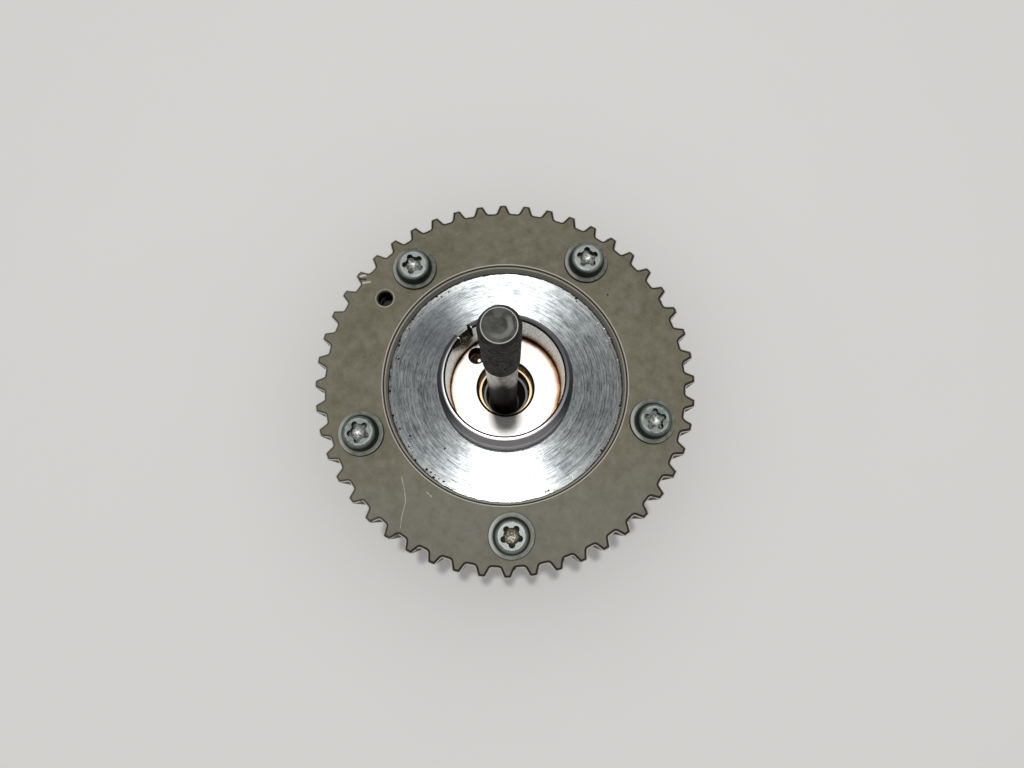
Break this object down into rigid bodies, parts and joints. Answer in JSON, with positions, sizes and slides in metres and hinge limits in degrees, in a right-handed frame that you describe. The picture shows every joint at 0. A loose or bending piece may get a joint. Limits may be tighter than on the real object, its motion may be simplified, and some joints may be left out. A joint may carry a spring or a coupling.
{
  "type": "cam phaser",
  "caption": "Belt-driven vane cam phaser: toothed sprocket housing with a rear seal journal, an inner vane rotor with a lock pin, and a loose centre bolt.",
  "frame": {"origin": "on the axis, at the front face that the part lies on", "axes": "+Z along the axis towards the camshaft side; a cover screw lies at -Y"},
  "size_m": [0.1208, 0.1208, 0.106],
  "materials": {
    "sintered_steel": "matt sintered steel with fine grain, scratches and one bruised tooth",
    "turned_steel": "bright turned face with fine circular lines, polished journal",
    "rubber": "black, smooth",
    "stator_steel": "matt sintered steel",
    "front_steel": "turned steel, lightly oiled",
    "rotor_steel": "ground end faces with brown oil varnish at the edges",
    "hardened_steel": "ground and hardened",
    "spring_steel": "drawn wire and strip",
    "plug_steel": "pressed steel",
    "bolt_steel": "dark phosphate thread, bright shank",
    "zinc_plate": "bluish zinc plating with dirt in the sockets",
    "seal_plastic": "moulded dark plastic"
  },
  "bodies": {
    "housing": {"sprocket": "sintered_steel", "rear_cover": "turned_steel", "rear_cover_seal": "rubber", "stator": "stator_steel", "front_cover": "front_steel", "front_cover_seal": "rubber", "cover_screw_1": "zinc_plate", "cover_screw_2": "zinc_plate", "cover_screw_3": "zinc_plate", "cover_screw_4": "zinc_plate", "cover_screw_5": "zinc_plate", "lock_pin_seat": "hardened_steel"},
    "rotor": {"rotor": "rotor_steel", "vane_seal_1": "seal_plastic", "vane_seal_2": "seal_plastic", "vane_seal_3": "seal_plastic", "vane_seal_4": "seal_plastic", "vane_seal_5": "seal_plastic", "vane_seal_spring_1": "spring_steel", "vane_seal_spring_2": "spring_steel", "vane_seal_spring_3": "spring_steel", "vane_seal_spring_4": "spring_steel", "vane_seal_spring_5": "spring_steel", "lock_pin_spring": "spring_steel", "lock_spring_plug": "plug_steel", "center_bolt": "bolt_steel"},
    "lock_pin": {"lock_pin": "hardened_steel"}
  },
  "joints": [
    {"name": "rotor_phase", "type": "hinge", "parent": "housing", "child": "rotor", "pos_m": [0, 0, 0], "axis": [0, 0, 1], "range_deg": [-12.5, 12.5]},
    {"name": "lock_pin_slide", "type": "slide", "parent": "rotor", "child": "lock_pin", "axis": [0, 0, -1], "range_m": [0, 0.0035], "stiffness_N_per_m": 600, "springref_m": -0.006, "deforming": ["lock_pin_spring"]}
  ]
}
